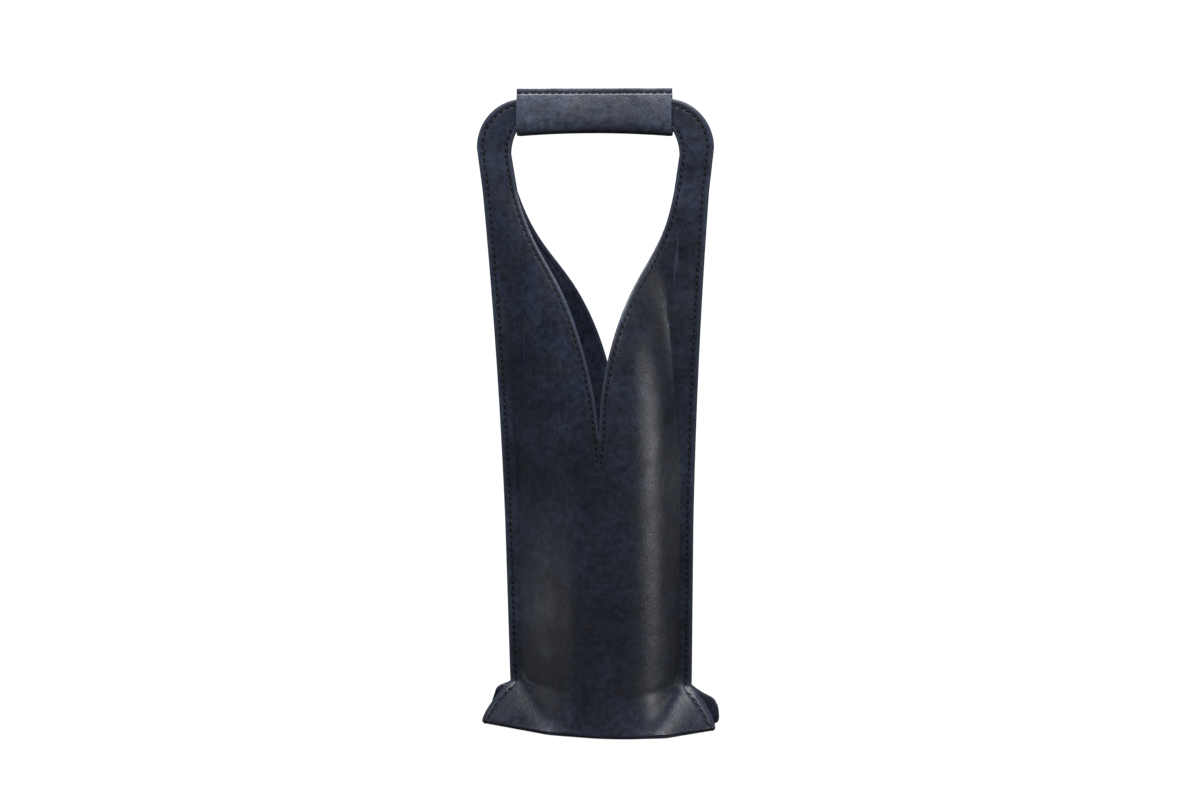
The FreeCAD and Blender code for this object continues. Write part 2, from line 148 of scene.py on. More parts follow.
# Above the seam ends the crease beside a seam is kept from it, over these widths and heights
KEPT_FROM, KEPT_TO = 40.0, 46.0
KEPT_RISE = 5.0

# Waves of handled leather: length across, length up and height against the unevenness
SLOW_WAVE = (34.0, 62.0, 1.6)
SMALL_WAVE = (13.0, 21.0, 0.45)
SMALL_WAVE_SEED = 9.0
# They are full this far from the side edge, below this height and above this one
WAVE_SIDE = (9.0, 23.0)
WAVE_TOP = (325.0, 265.0)
WAVE_FLOOR = (0.0, 12.0)

# Columns of points, from the inner edge and from the outer edge of a half
INNER_COLUMNS = (0.0, 0.7, 1.7, 3.0, 4.4, 6.5)
OUTER_COLUMNS = (FLANGE, 5.2, 3.6, 2.0, 0.7, 0.0)
MIDDLE_COLUMNS = 18
# Leather beside the mouth that leaves room for a column on the crease
CREASE_ROOM = 16.0

# Stitches: the end of a tack beside and below the slit, the lowest stitch, the height of the
# grip's seam, and the height above which the grip cover and a space beside it hide the others
TACK_END = (0.7, 17.0)
LOWEST_STITCH = 2.3
GRIP_SEAM = 401.1
HIDDEN_ABOVE = 360.0
COVER_SPACE = 1.0
# A sewn stitch slants by some degrees and varies in length
STITCH_SLANT = (3.0, 11.0)
STITCH_STRETCH = (0.92, 1.06)
# Where a ray that looks for the leather under a stitch starts, in metres from the middle plane
RAY_START = 0.2

# Half the section of the grip cover, from its sewn top edge to its underside
COVER_PROFILE = (
    (1.9, 403.6), (1.95, 402.4), (2.0, 401.4), (2.1, 400.4), (2.35, 399.4), (2.65, 398.2),
    (3.0, 396.6), (3.4, 394.4), (3.8, 391.8), (4.2, 389.0), (4.55, 386.0), (4.85, 382.8),
    (4.85, 379.8), (4.3, 377.1), (3.1, 375.1), (1.6, 374.2), (0.0, 374.0))
COVER_MIDDLE = 384.0
# It bows up along the strap, puffs out below its seam, flares at its ends and has an uneven edge
COVER_BOW = 1.9
COVER_PUFF = 0.05
COVER_FLARE = 0.04
FLARE_LENGTH = 3.0
COVER_LIFT = 0.18
# Heights between which the bow, the puff and the uneven edge grow to their full size
BOW_HEIGHTS = (398.0, 374.0)
PUFF_HEIGHTS = (399.0, 393.0)
LIFT_HEIGHTS = (399.0, 402.0)

# Sheets: softening of a cut edge, distance from it at which leather isn't worn, crease angle
EDGE_SOFTENING = 0.3
UNWORN = 10.0
CREASE_ANGLE = math.radians(38)
CUT_EDGE, FLESH = 1, 2

# Stage: colours, distances from the middle over which the shadow on the floor fades, in metres,
# and the camera, fitted to the photograph
WHITE = "#ffffff"
FLOOR_SEEN = "#e7e7e7"
FLOOR_BOUNCE = "#4b4b4d"
FILL = "#f9fcff"
SHADOW_REACH = (0.06, 0.18)
LENS = 82.29
CAMERA_PLACE = (0.2513, -1.6813, 0.4907)
CAMERA_AIM = (0.00148, 0.00022, 0.2088)
CAMERA_ROLL = math.radians(-0.62)


def linear(code):
    """Linear colour of an sRGB hex value."""
    channels = [int(code[place:place + 2], 16) / 255 for place in (1, 3, 5)]
    return [c / 12.92 if c <= 0.04045 else ((c + 0.055) / 1.055) ** 2.4 for c in channels]


def length_property(name, description, default, low, high):
    """Property for a length in metres."""
    return FloatProperty(
        name=name, description=description, default=default, min=low, max=high, unit="LENGTH")


def colour_property(name, description, code):
    """Property for a colour."""
    return FloatVectorProperty(
        name=name, description=description, default=linear(code), subtype="COLOR", min=0.0, max=1.0)


class CarrierSizes(bpy.types.PropertyGroup):
    """Sizes that can be changed without a new cut."""

    leather: length_property("Leather", "Thickness of the body leather", 0.002, 0.001, 0.004)
    bulge: length_property(
        "Bulge", "Depth of the pocket from the middle plane to its outer face", 0.040, 0.02, 0.05)
    bulge_shift: length_property(
        "Bulge shift", "How far the bulge sits to the right of the middle", 0.008, -0.015, 0.015)
    fold_radius: length_property(
        "Fold radius", "Outer radius of the fold along the bottom", 0.0026, 0.0021, 0.006)
    unevenness: length_property(
        "Unevenness", "How far the handled leather stands in and out", 0.0005, 0.0, 0.002)
    stitch_pitch: length_property(
        "Stitch pitch", "Length of one stitch with its space", 0.0042, 0.002, 0.006)
    stitch_length: length_property(
        "Stitch length", "Visible length of one stitch", 0.0039, 0.0015, 0.005)
    thread: length_property("Thread", "Thickness of the sewing thread", 0.0011, 0.0004, 0.0015)
    seam_inset: length_property("Seam inset", "Side seam from the cut edge", 0.0036, 0.002, 0.008)
    mouth_inset: length_property(
        "Mouth inset", "Row of stitches from the edge of mouth and hand hole", 0.003, 0.002, 0.008)
    cover_leather: length_property(
        "Cover leather", "Thickness of the grip cover leather", 0.0018, 0.001, 0.003)


class CarrierColours(bpy.types.PropertyGroup):
    """Colours of leather and thread."""

    navy: colour_property("Navy", "Waxed grain side of the leather", "#181d2a")
    worn_navy: colour_property("Worn navy", "Grain side where the wax has been rubbed", "#2e364a")
    brown_cast: colour_property("Brown cast", "Warm patches under the dye", "#1f1d23")
    grip_navy: colour_property("Grip navy", "Grain side of the grip cover", "#2a303f")
    grip_worn: colour_property("Grip worn", "Grip cover where hands have rubbed it", "#434a5c")
    cut_edge: colour_property("Cut edge", "Dyed cut edge", "#3c4456")
    flesh_side: colour_property("Flesh side", "Rough inner side", "#1a1b21")
    thread: colour_property("Thread", "Sewing thread", "#050507")
    thread_shine: colour_property("Thread shine", "Tops of the thread's twist", "#121217")


# Lines of the cut

def arc_points(start, stop, radius, swell, count):
    """Points on an arc that swells to the right (+1) or left (-1) of its direction."""
    a = np.array(start)
    b = np.array(stop)
    chord = b - a
    length = np.linalg.norm(chord)
    right = np.array((chord[1], -chord[0])) / length
    sink = math.sqrt(max(radius ** 2 - (length / 2) ** 2, 0.0))
    centre = (a + b) / 2 - right * swell * sink
    first = math.atan2(*(a - centre)[::-1])
    last = math.atan2(*(b - centre)[::-1])
    turn = (last - first + math.pi) % (2 * math.pi) - math.pi
    angles = first + turn * np.linspace(0.0, 1.0, count)
    return centre + radius * np.stack((np.cos(angles), np.sin(angles)), 1)


def line_points(start, stop, count):
    """Points on a straight line."""
    share = np.linspace(0.0, 1.0, count)[:, None]
    return np.array(start) * (1 - share) + np.array(stop) * share


def curve_points(points, count):
    """Points at even heights on a smooth line through some given ones."""
    across, heights = np.array(points).T
    slopes = np.gradient(across, heights)
    wanted = np.linspace(heights[0], heights[-1], count)
    run = np.clip(np.searchsorted(heights, wanted) - 1, 0, len(heights) - 2)
    step = heights[run + 1] - heights[run]
    t = (wanted - heights[run]) / step
    line = (across[run] * (1 + 2 * t) * (1 - t) ** 2 + across[run + 1] * t ** 2 * (3 - 2 * t)
            + step * (slopes[run] * t * (1 - t) ** 2 + slopes[run + 1] * t ** 2 * (t - 1)))
    return np.stack((line, wanted), 1)


def eased(values, window):
    """Moving average that keeps both ends in place."""
    for _ in range(2):
        ahead = 2 * values[0] - values[window:0:-1]
        behind = 2 * values[-1] - values[-2:-window - 2:-1]
        padded = np.concatenate((ahead, values, behind))
        kernel = np.ones(2 * window + 1) / (2 * window + 1)
        values = np.convolve(padded, kernel, "valid")
    return values


def mouth_line(side):
    """Edge of the V mouth from the slit to the flex line."""
    bend = (MOUTH_BEND_SHIFT + side * MOUTH_BEND[0], MOUTH_BEND[1])
    lower = arc_points(SLIT, bend, LOWER_MOUTH_RADIUS, -side, 60)
    upper = arc_points(bend, (side * FLEX_INSIDE[0], FLEX_INSIDE[1]), UPPER_MOUTH_RADIUS, side, 40)
    line = np.concatenate((lower, upper[1:]))
    heights = np.arange(SLIT[1], FLEX_INSIDE[1] + 0.5, 1.0)
    across = eased(np.interp(heights, line[:, 1], line[:, 0]), 9)
    return np.stack((across, heights), 1)


EAR_LINES = {place: curve_points(edge, 41) for place, edge in EAR_EDGES.items()}
SIDE_LINE = np.concatenate((
    line_points(SEAM_END, FLARE, 40),
    arc_points(FLARE, FLEX_OUTSIDE, FLARE_RADIUS, -1, 80)[1:],
))
ARM_LINE = line_points(FLEX_OUTSIDE, SHOULDER, 12)
SHOULDER_LINE = arc_points(SHOULDER, SHOULDER_TOP, SHOULDER_RADIUS, 1, 30)
HOLE_SIDE_LINE = line_points(FLEX_INSIDE, HOLE_SIDE, 12)
HOLE_CORNER_LINE = arc_points(HOLE_SIDE, HOLE_TOP, HOLE_RADIUS, 1, 30)
HOLE_LINE = np.concatenate((HOLE_SIDE_LINE, HOLE_CORNER_LINE[1:]))
LOOP_LINE = np.concatenate((ARM_LINE, SHOULDER_LINE[1:]))
MOUTH_LINES = {side: mouth_line(side) for side in (LEFT, RIGHT)}


def ramp(value, none, full):
    """Share that grows from 0 at one value to 1 at another."""
    return np.clip((value - none) / (full - none), 0.0, 1.0)


def on_side(line, side):
    """A line of the right half, or its image on the left."""
    return line * np.array((side, 1.0))


def resampled(line, count):
    """The same line with points at even spaces."""
    steps = np.linalg.norm(np.diff(line, axis=0), axis=1)
    along = np.concatenate(((0.0,), np.cumsum(steps)))
    wanted = np.linspace(0.0, along[-1], count)
    return np.stack([np.interp(wanted, along, line[:, axis]) for axis in (0, 1)], 1)


# Depth of the outer face

def pocket_half(height, face, side):
    """Width from the middle line to the crease beside a side seam."""
    half = np.interp(height, SIDE_LINE[:, 1], SIDE_LINE[:, 0]) - FLANGE
    if (face, side) == DRAWN_IN:
        half = min(half, np.interp(height, DRAWN_HEIGHTS, DRAWN_HALVES))
    return half


def lens_depth(across, height, sizes, face):
    """Depth over the pocket: round in the middle and straight from there to the seams."""
    edge = sizes.leather / MM + LAYER_GAP
    open_share = 1.0
    if height > FULL_HEIGHT:
        closing = (height - FULL_HEIGHT) / (FLEX_INSIDE[1] - FULL_HEIGHT)
        open_share -= min(closing, 1.0) ** CLOSING_POWER
    middle = sizes.bulge_shift / MM * open_share
    halves = {side: pocket_half(height, face, side) for side in (LEFT, RIGHT)}
    x = np.concatenate((LENS_SAMPLES, (-halves[LEFT], halves[RIGHT])))
    x.sort()
    depth = np.full(len(x), edge)
    for side in (LEFT, RIGHT):
        # Closing makes the drawn-in quarter a smaller round and the others a shallower one
        radius, share, bow = sizes.bulge / MM, open_share, RUN_BOW
        if (face, side) == DRAWN_IN:
            radius, share, bow = edge + (radius - edge) * open_share, 1.0, 0.0
        reach = halves[side] - side * middle
        lean = math.atan2(reach, edge) - math.acos(min(1.0, radius / math.hypot(reach, edge)))
        away = side * (x - middle)
        run_start = radius * math.sin(lean)
        on_round = (away >= 0) & (away < run_start)
        depth[on_round] = edge + (np.sqrt(radius ** 2 - away[on_round] ** 2) - edge) * share
        on_run = (away >= run_start) & (away < reach)
        along = (away[on_run] - run_start) / (reach - run_start)
        rise = (reach - away[on_run]) * math.tan(lean)
        rise += bow * (reach - run_start) * np.sin(math.pi * along)
        depth[on_run] = edge + rise * share
    soft = int(np.interp(height, (FULL_HEIGHT, SOFT_HEIGHT), (0, SOFTEST_WINDOW)))
    if soft:
        depth = eased(depth, soft)
    return np.interp(across, x, depth)


def row_depth(across, height, sizes, face):
    """Depth of one level row of points."""
    seam_height = SEAM_END[1]
    if height >= seam_height:
        return lens_depth(across, height, sizes, face)
    low = 1.0 - height / seam_height
    q = np.linspace(-1.0, 1.0, 121)
    middle = sizes.bulge_shift / MM
    top_x = middle + q * np.where(q > 0, SEAM_END[0] - middle, SEAM_END[0] + middle)
    top_d = lens_depth(top_x, seam_height, sizes, face)
    ends = np.where(q > 0, CREASE_RIGHT[0] - BASE_MIDDLE[0], BASE_MIDDLE[0] - CREASE_LEFT[0])
    drop = np.where(q > 0, BASE_MIDDLE[1] - CREASE_RIGHT[1], BASE_MIDDLE[1] - CREASE_LEFT[1])
    floor_x = BASE_MIDDLE[0] + q * ends
    floor_d = BASE_MIDDLE[1] - drop * np.abs(q) ** BASE_ROUND_POWER
    x = top_x + (floor_x - top_x) * low
    d = top_d + (floor_d - top_d) * low
    ear_d = {side: top_d[0] + (EAR_DEPTH[face, side] - top_d[0]) * low for side in (LEFT, RIGHT)}
    x = np.concatenate(((-ear_reach(height, face, LEFT),), x, (ear_reach(height, face, RIGHT),)))
    d = np.concatenate(((ear_d[LEFT],), d, (ear_d[RIGHT],)))
    return np.interp(across, x, d)


def ear_reach(height, face, side):
    """Sewn edge of an ear from the middle."""
    line = EAR_LINES[face, side]
    return np.interp(height, line[:, 1], line[:, 0])


def half_rows(side, fold, face):
    """Inner and outer end of each row of one half, from the fold to the middle of the strap."""
    heights = np.concatenate((
        np.linspace(fold, SEAM_END[1], 20)[:-1],
        np.linspace(SEAM_END[1], SLIT[1], 54)[:-1],
        np.linspace(SLIT[1], FLEX_INSIDE[1], 52),
    ))
    edge = np.concatenate((EAR_LINES[face, side], SIDE_LINE[1:]))
    outer = np.stack((side * np.interp(heights, edge[:, 1], edge[:, 0]), heights), 1)
    mouth = MOUTH_LINES[side]
    inner = np.stack((np.interp(heights, mouth[:, 1], mouth[:, 0]), heights), 1)
    strap = line_points(HOLE_TOP, (0.0, HOLE_TOP[1]), 12)
    strap[:, 1] += STRAP_RISE * (1.0 - (strap[:, 0] / HOLE_TOP[0]) ** 2)
    loop_inner = [resampled(HOLE_SIDE_LINE, 9), resampled(HOLE_CORNER_LINE, 20), strap]
    loop_outer = [
        resampled(ARM_LINE, 9), resampled(SHOULDER_LINE, 20),
        line_points(SHOULDER_TOP, (0.0, SHOULDER_TOP[1]), 12)]
    for part_inner, part_outer in zip(loop_inner, loop_outer):
        inner = np.concatenate((inner, on_side(part_inner[1:], side)))
        outer = np.concatenate((outer, on_side(part_outer[1:], side)))
    return inner, outer


def half_grid(side, sizes, face):
    """Grain side of one half as rows of points (across, depth, up) in millimetres."""
    fold = sizes.fold_radius / MM
    seam_depth = sizes.leather / MM + LAYER_GAP
    inner, outer = half_rows(side, fold, face)
    rows = []
    for start, stop in zip(inner, outer):
        width = np.linalg.norm(stop - start)
        outside = np.array(OUTER_COLUMNS)
        if SEAM_END[1] <= start[1] < FLEX_INSIDE[1]:
            crease = abs(stop[0]) - pocket_half(start[1], face, side)
            room = width - INNER_COLUMNS[-1] - crease
            outside[0] = FLANGE + (crease - FLANGE) * np.clip(room / CREASE_ROOM, 0.0, 1.0)
        middle = np.linspace(INNER_COLUMNS[-1], width - outside[0], MIDDLE_COLUMNS + 2)[1:-1]
        places = np.concatenate((INNER_COLUMNS, middle, width - outside)) / width
        flat = start + (stop - start) * places[:, None]
        if start[1] < FLEX_INSIDE[1] and abs(start[1] - stop[1]) < 1e-6:
            depth = row_depth(flat[:, 0], start[1], sizes, face)
        else:
            depth = np.full(len(flat), seam_depth)
        rows.append(np.stack((flat[:, 0], depth, flat[:, 1]), 1))
    return np.array(rows)


def settle(left, right, levels):
    """Ease the creases of the base over both halves."""
    rows = np.concatenate((left[:levels, :0:-1], right[:levels]), 1)
    across, up = np.abs(rows[:, :, 0]), rows[:, :, 2]
    kept = ramp(across, KEPT_FROM, KEPT_TO) * ramp(up, SEAM_END[1], SEAM_END[1] + KEPT_RISE)
    fade = ramp(up, SETTLE_END, SETTLE_FULL) * (1.0 - kept)
    for _ in range(SETTLE_PASSES):
        depth = rows[:, :, 1]
        eased_rows = depth.copy()
        eased_rows[1:-1, 1:-1] = (
            4 * depth[1:-1, 1:-1] + depth[:-2, 1:-1] + depth[2:, 1:-1]
            + depth[1:-1, :-2] + depth[1:-1, 2:]) / 8
        rows[:, :, 1] = depth + (eased_rows - depth) * fade
    count = left.shape[1]
    left[:levels, :, 1] = rows[:, count - 1::-1, 1]
    right[:levels, :, 1] = rows[:, count - 1:, 1]


def wave(across, up, seed, form):
    """Height of a wave of handled leather at a place."""
    return form[2] * noise.noise(Vector((across / form[0], seed, up / form[1])))


def handled(grid, outer_ends, amount, seed):
    """Waves of handled leather, fading out at the seams, the floor and the handle."""
    for row, end in zip(grid, outer_ends):
        for point in row:
            across, _, up = point
            weight = ramp(abs(end[0] - across), *WAVE_SIDE)
            weight *= ramp(up, *WAVE_TOP) * ramp(up, *WAVE_FLOOR)
            waves = (wave(across, up, seed, SLOW_WAVE)
                     + wave(across, up, seed + SMALL_WAVE_SEED, SMALL_WAVE))
            point[1] += weight * amount * waves


def fold_rows(wall, radius):
    """Rows of the bottom fold under the lowest row of the wall."""
    along = np.gradient(wall[:, :2], axis=0)
    out = np.stack((-along[:, 1], along[:, 0]), 1)
    out /= np.linalg.norm(out, axis=1)[:, None]
    out *= np.where(out[:, 1] < 0, -1.0, 1.0)[:, None]
    rows = []
    for turn in FOLD_TURNS:
        angle = math.radians(turn)
        row = wall.copy()
        row[:, :2] -= out * radius * (1.0 - math.cos(angle))
        row[:, 2] = radius * (1.0 - math.sin(angle))
        rows.append(row)
    return np.array(rows)


# Sheets

def select_only(piece):
    """Make one object the only one that is selected and active."""
    bpy.ops.object.select_all(action="DESELECT")
    piece.select_set(True)
    bpy.context.view_layer.objects.active = piece


def grid_faces(rows, columns, first=0):
    """Quads between the points of a grid."""
    faces = []
    for r in range(rows - 1):
        for c in range(columns - 1):
            a = first + r * columns + c
            faces.append((a, a + 1, a + columns + 1, a + columns))
    return faces


def leather_sheet(name, points, faces, out, thickness, stop_at=lambda inside: inside):
    """Sheet of leather from its grain side, with flesh side and softened cut edges.

    out gives a rough outward direction for a face middle, and stop_at keeps the flesh side
    of a layer from passing its neighbour."""
    mesh = bpy.data.meshes.new(name)
    sheet = bmesh.new()
    corners = [sheet.verts.new(point) for point in points]
    for face in faces:
        sheet.faces.new([corners[index] for index in face])
    bmesh.ops.remove_doubles(sheet, verts=sheet.verts, dist=0.02 * MM)
    sheet.normal_update()
    for face in sheet.faces:
        if face.normal.dot(out(face.calc_center_median())) < 0:
            face.normal_flip()
    sheet.normal_update()
    grain = list(sheet.faces)
    border = [edge for edge in sheet.edges if edge.is_boundary]
    soften = EDGE_SOFTENING * MM
    rim = {vert for edge in border for vert in edge.verts}
    normals = {vert: vert.normal.copy() for vert in sheet.verts}
    under = {}
    for vert, normal in normals.items():
        inside = stop_at(vert.co - normal * thickness)
        if vert in rim:
            inside = inside + normal * soften
        under[vert] = sheet.verts.new(inside)
    for vert in rim:
        vert.co -= normals[vert] * soften
    for face in grain:
        back = sheet.faces.new([under[vert] for vert in reversed(face.verts)])
        back.material_index = FLESH
    for edge in border:
        loop = edge.link_loops[0]
        a = loop.vert
        b = loop.link_loop_next.vert
        side = sheet.faces.new((b, a, under[a], under[b]))
        side.material_index = CUT_EDGE
    sheet.normal_update()
    sheet.to_mesh(mesh)
    sheet.free()
    piece = bpy.data.objects.new(name, mesh)
    bpy.context.collection.objects.link(piece)
    select_only(piece)
    bpy.ops.object.shade_smooth_by_angle(angle=CREASE_ANGLE)
    return piece


def nearest(lines):
    """Search tree over the points of several lines."""
    points = np.concatenate([resampled(line, 1200) for line in lines])
    tree = kdtree.KDTree(len(points))
    for index, (x, z) in enumerate(points):
        tree.insert((x, z, 0.0), index)
    tree.balance()
    return tree


def tack_lines(sizes):
    """The two rows of stitches that run together under the slit."""
    lines = []
    for side in (LEFT, RIGHT):
        start = (SLIT[0] + side * sizes.mouth_inset / MM, SLIT[1])
        stop = (SLIT[0] + side * TACK_END[0], SLIT[1] - TACK_END[1])
        lines.append(line_points(start, stop, 20))
    return lines


def mark_seams(piece, sizes, face):
    """Store each point's distance from the cut edge and from the nearest row of stitches."""
    outer = []
    inner = []
    for side in (LEFT, RIGHT):
        edge = np.concatenate((EAR_LINES[face, side], SIDE_LINE[1:], LOOP_LINE[1:]))
        outer.append(on_side(edge, side))
        inner += [MOUTH_LINES[side], on_side(HOLE_LINE, side)]
    outer_tree = nearest(outer)
    inner_tree = nearest(inner)
    tack_tree = nearest(tack_lines(sizes))
    edges = piece.data.attributes.new("edge_distance", "FLOAT", "POINT")
    seams = piece.data.attributes.new("seam_distance", "FLOAT", "POINT")
    for vert in piece.data.vertices:
        place = (vert.co.x / MM, vert.co.z / MM, 0.0)
        from_outer = outer_tree.find(place)[2]
        from_inner = inner_tree.find(place)[2]
        edges.data[vert.index].value = min(from_outer, from_inner)
        from_row = abs(from_inner - sizes.mouth_inset / MM)
        if vert.co.z < SLIT[1] * MM:
            from_row = tack_tree.find(place)[2]
        seams.data[vert.index].value = min(abs(from_outer - sizes.seam_inset / MM), from_row)


def panel_piece(name, face, sizes, seed):
    """Front or back of the body strip with its half of the handle, in one sheet."""
    grids = {side: half_grid(side, sizes, face) for side in (LEFT, RIGHT)}
    levels = int(np.sum(grids[RIGHT][:, 0, 2] <= SLIT[1] + 1e-6))
    settle(grids[LEFT], grids[RIGHT], levels)
    points = []
    faces = []
    for side, grid in grids.items():
        handled(grid, grid[:, -1], sizes.unevenness / MM, seed)
        grid = np.concatenate((fold_rows(grid[0], sizes.fold_radius / MM), grid))
        faces += grid_faces(grid.shape[0], grid.shape[1], len(points))
        for x, depth, z in grid.reshape(-1, 3):
            points.append((x * MM, face * depth * MM, z * MM))

    def outward(middle):
        return Vector((0.0, face, -0.2 if middle.z < 2 * MM else 0.0))

    def stop_at(point):
        gap = LAYER_GAP * MM
        point.y = min(point.y, -gap) if face == FRONT else max(point.y, gap)
        return point

    piece = leather_sheet(name, points, faces, outward, sizes.leather, stop_at)
    mark_seams(piece, sizes, face)
    return piece


# Stitches

def inset_line(line, inset, towards):
    """The line moved sideways by an inset, to the side that a direction names."""
    fine = resampled(line, 400)
    along = np.gradient(fine, axis=0)
    along /= np.linalg.norm(along, axis=1)[:, None]
    across = np.stack((along[:, 1], -along[:, 0]), 1)
    signs = np.where(np.sum(across * towards(fine), axis=1) < 0, -1.0, 1.0)
    return fine + across * signs[:, None] * inset


def stitch_places(line, pitch):
    """Middle and direction of each stitch on a line."""
    length = np.sum(np.linalg.norm(np.diff(line, axis=0), axis=1))
    count = max(2, round(length / pitch))
    points = resampled(line, 2 * count + 1)
    places = []
    for number in range(count):
        before, middle, after = points[2 * number:2 * number + 3]
        places.append((middle, after - before))
    return places


def stitch_shape(sizes):
    """One stitch, lying along X with its ends pulled down into the leather."""
    bpy.ops.object.select_all(action="DESELECT")
    bpy.ops.mesh.primitive_uv_sphere_add(segments=8, ring_count=7, radius=0.5)
    piece = bpy.context.active_object
    bpy.ops.object.mode_set(mode="EDIT")
    bpy.ops.mesh.select_all(action="SELECT")
    bpy.ops.transform.rotate(value=math.radians(90), orient_axis="Y", center_override=(0, 0, 0))
    bpy.ops.transform.resize(value=(sizes.stitch_length, sizes.thread, sizes.thread))
    bpy.ops.object.mode_set(mode="OBJECT")
    shape = piece.data
    # Blunt ends, and a bow that sinks them into the leather
    for vert in shape.vertices:
        reach = 2 * vert.co.x / sizes.stitch_length
        blunt = math.sqrt((1.0 - reach ** 6) / (1.0 - reach ** 2)) if abs(reach) < 0.99 else 1.0
        vert.co.y *= blunt
        vert.co.z = vert.co.z * blunt - sizes.thread * (0.02 + 0.3 * reach ** 2)
    points = [vert.co.copy() for vert in shape.vertices]
    faces = [tuple(polygon.vertices) for polygon in shape.polygons]
    bpy.data.objects.remove(piece)
    bpy.data.meshes.remove(shape)
    return points, faces


def thread_piece(name, shape, stitches):
    """Row of stitches; each is (place, direction, normal)."""
    points, faces = shape
    rng = random.Random(name)
    all_points = []
    all_faces = []
    for place, along, normal in stitches:
        along = (along - normal * along.dot(normal)).normalized()
        along = Quaternion(normal, math.radians(rng.uniform(*STITCH_SLANT))) @ along
        turn = Matrix((along, normal.cross(along), normal)).transposed()
        stretch = rng.uniform(*STITCH_STRETCH)
        first = len(all_points)
        for point in points:
            all_points.append(place + turn @ Vector((point.x * stretch, point.y, point.z)))
        all_faces += [tuple(first + index for index in face) for face in faces]
    mesh = bpy.data.meshes.new(name)
    mesh.from_pydata(all_points, [], all_faces)
    mesh.update()
    piece = bpy.data.objects.new(name, mesh)
    bpy.context.collection.objects.link(piece)
    select_only(piece)
    bpy.ops.object.shade_smooth()
    return piece


def on_leather(leather, places, face):
    """Stitches laid on the outer face of a sheet."""
    stitches = []
    for (x, z), (run_x, run_z) in places:
        start = Vector((x * MM, face * RAY_START, z * MM))
        hit, place, normal, _ = leather.ray_cast(start, Vector((0.0, -face, 0.0)))
        if not hit:
            raise RuntimeError(f"No leather under the stitch at {x:.1f}, {z:.1f} mm")
        stitches.append((place, Vector((run_x, 0.0, run_z)), normal))
    return stitches


# Materials

SMOOTH = {"interpolation_type": "SMOOTHSTEP"}
COLOUR = {"data_type": "RGBA"}
# Sockets of a Mix node for colours
SHARE, FIRST, SECOND = 0, 6, 7
MIXED = 2


def feed(tree, node, inputs):
    """Set inputs of a node; each is a value or the socket that feeds it."""
    for name, value in inputs.items():
        if isinstance(value, bpy.types.NodeSocket):
            tree.links.new(value, node.inputs[name])
        else:
            node.inputs[name].default_value = value


def add_node(tree, kind, settings, inputs):
    """Node with its settings and its inputs."""
    made = tree.nodes.new(kind)
    for name, value in settings.items():
        setattr(made, name, value)
    feed(tree, made, inputs)
    return made


def new_material(name):
    """Material with its principled shader, and the place on the piece that its patterns read."""
    material = bpy.data.materials.new(name)
    material.use_nodes = True
    tree = material.node_tree
    tree.nodes.clear()
    shader = add_node(tree, "ShaderNodeBsdfPrincipled", {}, {})
    output = add_node(tree, "ShaderNodeOutputMaterial", {}, {"Surface": shader.outputs["BSDF"]})
    output.is_active_output = True
    place = add_node(tree, "ShaderNodeTexCoord", {}, {}).outputs["Object"]
    return material, tree, shader, place


def per_mm(size):
    """Texture scale for a feature of that many millimetres."""
    return 1000.0 / size


def opaque(colour):
    """Colour of a property group as a node takes it."""
    return (*colour, 1.0)


def pull_up_colour(tree, place, patches, colours, navy, worn_navy):
    """Navy with lighter clouds, warmer patches and fine specks."""
    clouds = add_node(tree, "ShaderNodeTexNoise", {}, {
        "Vector": place, "Scale": per_mm(60), "Detail": 6.0, "Roughness": 0.6, "Distortion": 0.4})
    cloud_share = add_node(tree, "ShaderNodeMapRange", SMOOTH, {
        "Value": clouds.outputs["Fac"], "From Min": 0.36, "From Max": 0.7, "To Max": 0.85})
    patch_share = add_node(tree, "ShaderNodeMapRange", SMOOTH, {
        "Value": patches, "From Min": 0.45, "From Max": 0.72, "To Max": 0.6})
    clouded = add_node(tree, "ShaderNodeMix", COLOUR, {
        SHARE: cloud_share.outputs["Result"], FIRST: opaque(navy), SECOND: opaque(worn_navy)})
    warm = add_node(tree, "ShaderNodeMix", COLOUR, {
        SHARE: patch_share.outputs["Result"], FIRST: clouded.outputs[MIXED],
        SECOND: opaque(colours.brown_cast)})
    specks = add_node(tree, "ShaderNodeTexNoise", {}, {
        "Vector": place, "Scale": per_mm(4.0), "Detail": 4.0, "Roughness": 0.7})
    speck_share = add_node(tree, "ShaderNodeMapRange", {}, {
        "Value": specks.outputs["Fac"], "From Min": 0.36, "From Max": 0.62,
        "To Min": 0.5, "To Max": 1.34})
    speckled = add_node(tree, "ShaderNodeMix", {**COLOUR, "blend_type": "MULTIPLY"}, {
        SHARE: 1.0, FIRST: warm.outputs[MIXED], SECOND: speck_share.outputs["Result"]})
    return speckled.outputs[MIXED]


